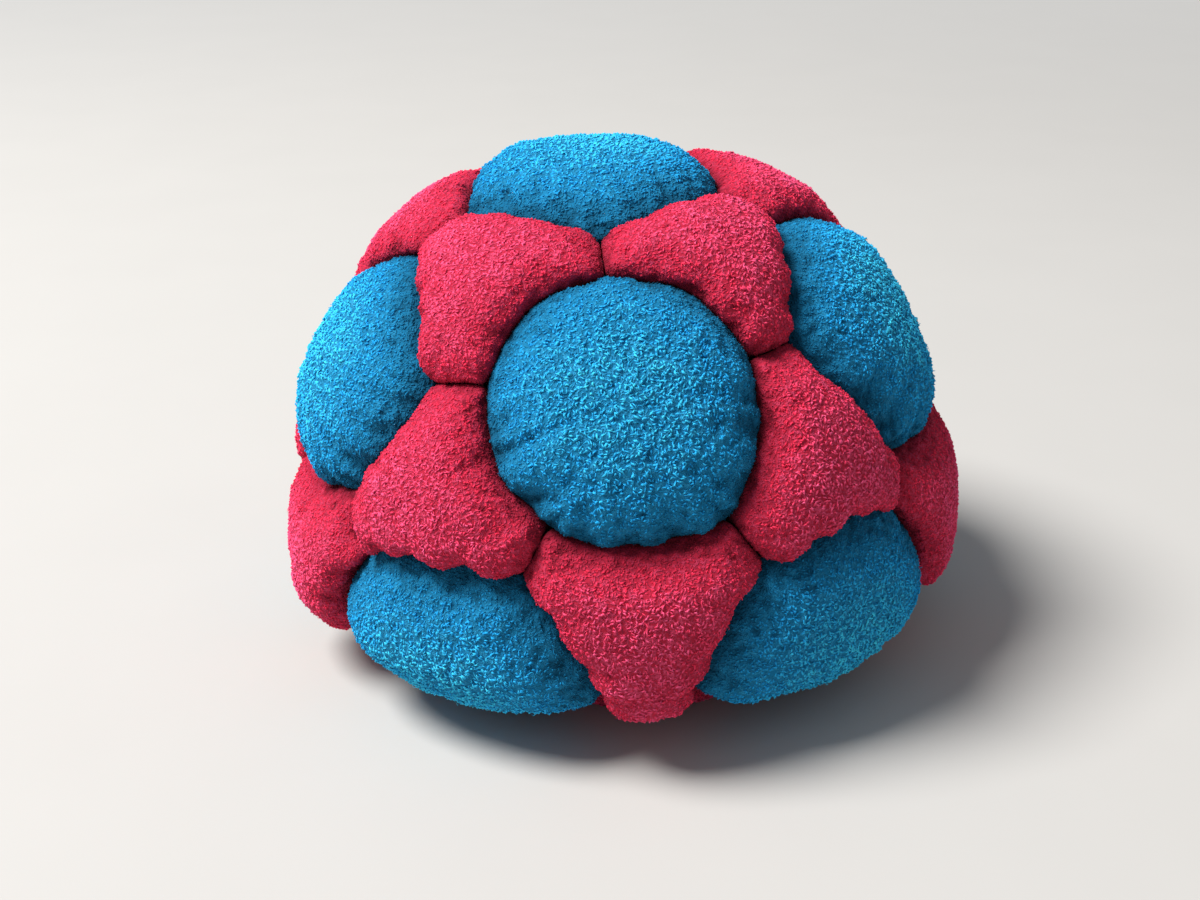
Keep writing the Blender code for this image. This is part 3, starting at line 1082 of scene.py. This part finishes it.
def add_node(tree, kind, inputs=None, **settings):
    node = tree.nodes.new(kind)
    for name, value in settings.items():
        setattr(node, name, value)
    feed(tree, node, inputs or {})
    return node


def maths(tree, operation, first, second=0.0):
    node = add_node(tree, "ShaderNodeMath", {0: first, 1: second}, operation=operation)
    return node.outputs[0]


def remapped(tree, value, low, high, new_low=0.0, new_high=1.0):
    node = add_node(tree, "ShaderNodeMapRange", {
        "Value": value, "From Min": low, "From Max": high, "To Min": new_low, "To Max": new_high})
    return node.outputs["Result"]


def mixed(tree, factor, first, second):
    node = add_node(
        tree, "ShaderNodeMix", {0: factor, 6: first, 7: second}, data_type="RGBA")
    return node.outputs[2]


def bumped(tree, height, strength, distance, invert=False):
    node = add_node(
        tree, "ShaderNodeBump", {"Strength": strength, "Distance": distance, "Height": height},
        invert=invert)
    return node.outputs["Normal"]


def attribute(tree, name):
    return add_node(tree, "ShaderNodeAttribute", attribute_name=name).outputs["Fac"]


def nap_group():
    """Fine fibres of the ground that the strands of nap stand on."""
    tree, start, end = new_group(
        "Nap",
        [("Vector", "NodeSocketVector", None), ("Scale", "NodeSocketFloat", 3000.0),
         ("Bend", "NodeSocketFloat", 0.00012)],
        [("Height", "NodeSocketFloat"), ("Fibres", "NodeSocketFloat"),
         ("Mottle", "NodeSocketFloat")],
    )
    vector = start.outputs["Vector"]
    scale = start.outputs["Scale"]
    sway = add_node(tree, "ShaderNodeTexNoise", {
        "Vector": vector, "Scale": scale, "Detail": 1.0}, noise_dimensions="3D")
    centred = add_node(tree, "ShaderNodeVectorMath", {
        0: sway.outputs["Color"], 1: (0.5, 0.5, 0.5)}, operation="SUBTRACT")
    shift = add_node(tree, "ShaderNodeVectorMath", {
        0: centred.outputs[0], "Scale": start.outputs["Bend"]}, operation="SCALE")
    bent = add_node(tree, "ShaderNodeVectorMath", {
        0: vector, 1: shift.outputs[0]}, operation="ADD")
    strands = add_node(tree, "ShaderNodeTexNoise", {
        "Vector": bent.outputs[0], "Scale": scale, "Detail": 1.0}, noise_dimensions="3D")
    off_line = maths(tree, "ABSOLUTE", maths(tree, "SUBTRACT", strands.outputs[0], 0.5))
    fibres = remapped(tree, off_line, 0.0, 0.11, new_low=1.0, new_high=0.0)
    fuzz = add_node(tree, "ShaderNodeTexNoise", {
        "Vector": bent.outputs[0], "Scale": maths(tree, "MULTIPLY", scale, 2.6), "Detail": 2.0})
    height = maths(
        tree, "ADD", maths(tree, "MULTIPLY", fibres, 0.65),
        maths(tree, "MULTIPLY", fuzz.outputs[0], 0.35))
    cloud = add_node(tree, "ShaderNodeTexNoise", {
        "Vector": vector, "Scale": maths(tree, "MULTIPLY", scale, 0.09), "Detail": 3.0})
    feed(tree, end, {"Height": height, "Fibres": fibres, "Mottle": cloud.outputs[0]})
    return tree


def group_named(name, make):
    return bpy.data.node_groups.get(name) or make()


def new_material(name):
    """Material with its node tree, its shader and the place of each point on the object."""
    material = bpy.data.materials.new(name)
    material.use_nodes = True
    tree = material.node_tree
    where = add_node(tree, "ShaderNodeTexCoord").outputs["Object"]
    return material, tree, tree.nodes["Principled BSDF"], where


def shade_of(colour, strength):
    return tuple(min(channel * strength, 1.0) for channel in colour) + (1.0,)


def suede_material(kind_name, colour, tips):
    """Short curly nap: painted highlight on the curls and their tips, painted shade between them and
    in the grooves, with a soft bloom at the edges.
    """
    material, tree, shader, where = new_material(kind_name + "_suede")
    nap = add_node(
        tree, "ShaderNodeGroup", {"Vector": where}, node_tree=group_named("Nap", nap_group))
    painted_light_level = attribute(tree, "lift")
    strand = attribute(tree, "strand")
    ground = maths(tree, "SUBTRACT", 1.0, strand)
    # Painted shade at the bottom of the nap, where the ground between strands and the grooves go
    # dark
    deep = shade_of(colour, DEEP_SHADE)
    tone = KINDS[kind_name]["ground"]
    fine = maths(tree, "MULTIPLY", nap.outputs["Fibres"], painted_light_level)
    fibrous = mixed(tree, fine, shade_of(colour, tone), shade_of(tips, tone + FIBRE_STEP))
    shade = mixed(tree, remapped(tree, painted_light_level, 0.0, GROUND_LIFT), deep, fibrous)
    mottle = remapped(tree, nap.outputs["Mottle"], 0.3, 0.7, new_high=0.20)
    clouded = mixed(tree, mottle, shade, shade_of(colour, CLOUD_SHADE))
    # Strands run from painted shade at their roots to the painted highlight on their tips
    low = remapped(tree, painted_light_level, 0.0, BODY_LIFT)
    high = remapped(tree, painted_light_level, BODY_LIFT, 1.0)
    body = mixed(tree, low, deep, shade_of(colour, BODY_SHADE))
    lit = mixed(tree, high, body, shade_of(tips, TIP_SHADE))
    rough = maths(tree, "MULTIPLY", ground, maths(tree, "MULTIPLY", nap.outputs["Fibres"], 0.12))
    height = maths(tree, "MULTIPLY", ground, nap.outputs["Height"])
    feed(tree, shader, {
        "Base Color": mixed(tree, strand, clouded, lit),
        "Roughness": maths(tree, "SUBTRACT", 0.96, rough),
        "Normal": bumped(tree, height, strength=1.0, distance=0.00012),
        "Specular IOR Level": 0.12,
        "Sheen Weight": 0.20,
        "Sheen Roughness": 0.45,
        "Sheen Tint": shade_of(tips, 1.0),
    })
    return material


def thread_material():
    """Dark twisted polyester, with a fine diagonal lay."""
    material, tree, shader, where = new_material("thread")
    lay = add_node(tree, "ShaderNodeTexWave", {
        "Vector": where, "Scale": 900.0, "Distortion": 2.0}, bands_direction="DIAGONAL")
    twist = lay.outputs["Fac"]
    feed(tree, shader, {
        "Base Color": mixed(tree, twist, (0.008, 0.012, 0.026, 1.0), (0.035, 0.050, 0.095, 1.0)),
        "Roughness": 0.55,
        "Normal": bumped(tree, twist, strength=0.7, distance=0.00006),
        "Sheen Weight": 0.2,
    })
    return material


def sand_material():
    """Loose grains of several sands, from pale quartz to brown."""
    material, tree, shader, where = new_material("sand")
    grains = add_node(tree, "ShaderNodeTexVoronoi", {"Vector": where, "Scale": 2400.0})
    tone = add_node(tree, "ShaderNodeSeparateColor", {"Color": grains.outputs["Color"]})
    body = mixed(tree, tone.outputs[0], (0.360, 0.250, 0.140, 1.0), (0.660, 0.540, 0.360, 1.0))
    quartz = remapped(tree, tone.outputs[1], 0.82, 0.86, new_high=0.8)
    feed(tree, shader, {
        "Base Color": mixed(tree, quartz, body, (0.820, 0.790, 0.720, 1.0)),
        "Roughness": remapped(tree, tone.outputs[2], 0.0, 1.0, 0.55, 0.95),
        "Normal": bumped(
            tree, grains.outputs["Distance"], strength=0.9, distance=0.0002, invert=True),
    })
    return material


def floor_material(colour):
    """Smooth pale board with a barely seen grain, which fades to the plain background far off."""
    material, tree, shader, where = new_material("floor")
    grain = add_node(tree, "ShaderNodeTexNoise", {"Vector": where, "Scale": 60.0, "Detail": 3.0})
    worn = remapped(tree, grain.outputs[0], 0.3, 0.7)
    feed(tree, shader, {
        "Base Color": mixed(tree, worn, shade_of(colour, 0.985), shade_of(colour, 1.0)),
        "Roughness": 0.9,
        "Specular IOR Level": 0.2,
    })
    away = add_node(tree, "ShaderNodeVectorMath", {0: where}, operation="LENGTH").outputs["Value"]
    seen = add_node(tree, "ShaderNodeLightPath").outputs["Is Camera Ray"]
    fade = maths(tree, "MULTIPLY", remapped(tree, away, *FLOOR_FADE), seen)
    behind = add_node(tree, "ShaderNodeEmission", {"Color": BEHIND, "Strength": 1.0})
    mix = add_node(tree, "ShaderNodeMixShader", {
        0: fade, 1: shader.outputs[0], 2: behind.outputs[0]})
    feed(tree, tree.nodes["Material Output"], {"Surface": mix.outputs[0]})
    return material


def dress_node(node, material):
    """Gives a node that stays in view its finished material."""
    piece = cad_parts[node]
    piece.data.materials.clear()
    piece.data.materials.append(material)


# Stage


def make_camera(lens):
    """Camera of the photograph: its place, its downward pitch and its slight roll."""
    camera = add_object("camera", bpy.data.cameras.new("camera"))
    camera.data.lens = lens
    camera.data.sensor_width = 36.0
    camera.data.clip_start = 0.01
    camera.data.clip_end = 20.0
    ahead = Vector((0.0, cos(CAMERA_PITCH), -sin(CAMERA_PITCH)))
    below = Vector((0.0, -sin(CAMERA_PITCH), -cos(CAMERA_PITCH)))
    level = Vector((1.0, 0.0, 0.0))
    right = level * cos(CAMERA_ROLL) + below * sin(CAMERA_ROLL)
    down = below * cos(CAMERA_ROLL) - level * sin(CAMERA_ROLL)
    turn = Matrix((right, -down, -ahead)).transposed()
    camera.matrix_world = Matrix.Translation(CAMERA_PLACE) @ turn.to_4x4()
    bpy.context.scene.camera = camera


def make_key(power):
    """Large soft lamp at the upper left."""
    lamp = add_object("key", bpy.data.lights.new("key", "AREA"))
    lamp.data.shape = "DISK"
    lamp.data.size = KEY_SIZE
    lamp.data.energy = power
    lamp.data.color = KEY_COLOUR
    lamp.location = KEY_PLACE
    aim = KEY_TARGET - Vector(KEY_PLACE)
    lamp.rotation_euler = aim.to_track_quat("-Z", "Y").to_euler()


def make_world(surround):
    """Even pale surround: plain behind the bag, and soft as a light."""
    world = bpy.data.worlds.new("surround")
    bpy.context.scene.world = world
    world.use_nodes = True
    tree = world.node_tree
    light = tree.nodes["Background"]
    feed(tree, light, {"Color": SKY_COLOUR, "Strength": surround})
    behind = add_node(tree, "ShaderNodeBackground", {"Color": BEHIND, "Strength": 1.0})
    seen = add_node(tree, "ShaderNodeLightPath").outputs["Is Camera Ray"]
    mix = add_node(tree, "ShaderNodeMixShader", {
        0: seen, 1: light.outputs[0], 2: behind.outputs[0]})
    feed(tree, tree.nodes["World Output"], {"Surface": mix.outputs[0]})


def make_floor(colour):
    bm = bmesh.new()
    bmesh.ops.create_circle(bm, cap_ends=True, segments=96, radius=FLOOR_RADIUS)
    mesh = mesh_from(bm, "floor")
    bm.free()
    mesh.materials.append(floor_material(colour))
    add_object("floor", mesh)


# Operators, panel and registration


class FootbagBlue(Operator):
    """Builds the twelve five-cornered panels"""

    bl_idname = "footbag.blue_panels"
    bl_label = "Blue panels"

    def execute(self, context):
        suede = context.scene.footbag_suede
        build_panels(context, "blue", suede_material("blue", suede.blue, suede.blue_highlight))
        return {"FINISHED"}


class FootbagPink(Operator):
    """Builds the twenty three-sided panels"""

    bl_idname = "footbag.pink_panels"
    bl_label = "Crimson panels"

    def execute(self, context):
        suede = context.scene.footbag_suede
        build_panels(context, "pink", suede_material("pink", suede.pink, suede.pink_highlight))
        return {"FINISHED"}


class FootbagThread(Operator):
    """Finishes the thread that sews the panels together inside"""

    bl_idname = "footbag.seam_thread"
    bl_label = "Seam thread"

    def execute(self, context):
        dress_node("seam_thread", thread_material())
        return {"FINISHED"}


class FootbagSand(Operator):
    """Finishes the sand that fills the bag"""

    bl_idname = "footbag.sand_fill"
    bl_label = "Sand fill"

    def execute(self, context):
        dress_node("sand_fill", sand_material())
        return {"FINISHED"}


class FootbagStageBuild(Operator):
    """Sets up the floor, the lamp and the camera"""

    bl_idname = "footbag.stage"
    bl_label = "Stage"

    def execute(self, context):
        stage = context.scene.footbag_stage
        context.scene.view_settings.view_transform = "Standard"
        make_floor(stage.floor)
        make_world(stage.surround)
        make_key(stage.key_power)
        make_camera(stage.lens)
        return {"FINISHED"}


class FootbagPanel(Panel):
    """The bag's sizes, finishes and steps"""

    bl_idname = "FOOTBAG_PT_build"
    bl_label = "Footbag"
    bl_space_type = "VIEW_3D"
    bl_region_type = "UI"
    bl_category = "Footbag"

    def draw(self, context):
        for group in GROUPS:
            owner = getattr(context.scene, group)
            for name in owner.bl_rna.properties.keys():
                if name not in ("name", "rna_type"):
                    self.layout.prop(owner, name)
        for operator in OPERATORS:
            self.layout.operator(operator.bl_idname)


GROUPS = {
    "footbag_shape": FootbagShape,
    "footbag_suede": FootbagSuede,
    "footbag_stage": FootbagStage,
}
OPERATORS = (FootbagBlue, FootbagPink, FootbagThread, FootbagSand, FootbagStageBuild)


def register():
    for group in (*GROUPS.values(), *OPERATORS, FootbagPanel):
        bpy.utils.register_class(group)
    for name, group in GROUPS.items():
        setattr(bpy.types.Scene, name, PointerProperty(type=group))


def unregister():
    for name in GROUPS:
        delattr(bpy.types.Scene, name)
    for group in (FootbagPanel, *OPERATORS, *GROUPS.values()):
        bpy.utils.unregister_class(group)


def corners(box):
    return [list(corner) for corner in box]


def main():
    register()
    bpy.ops.footbag.stage()
    bpy.ops.footbag.seam_thread()
    bpy.ops.footbag.sand_fill()
    bpy.ops.footbag.blue_panels()
    bpy.ops.footbag.pink_panels()


if __name__ == "__main__":
    main()
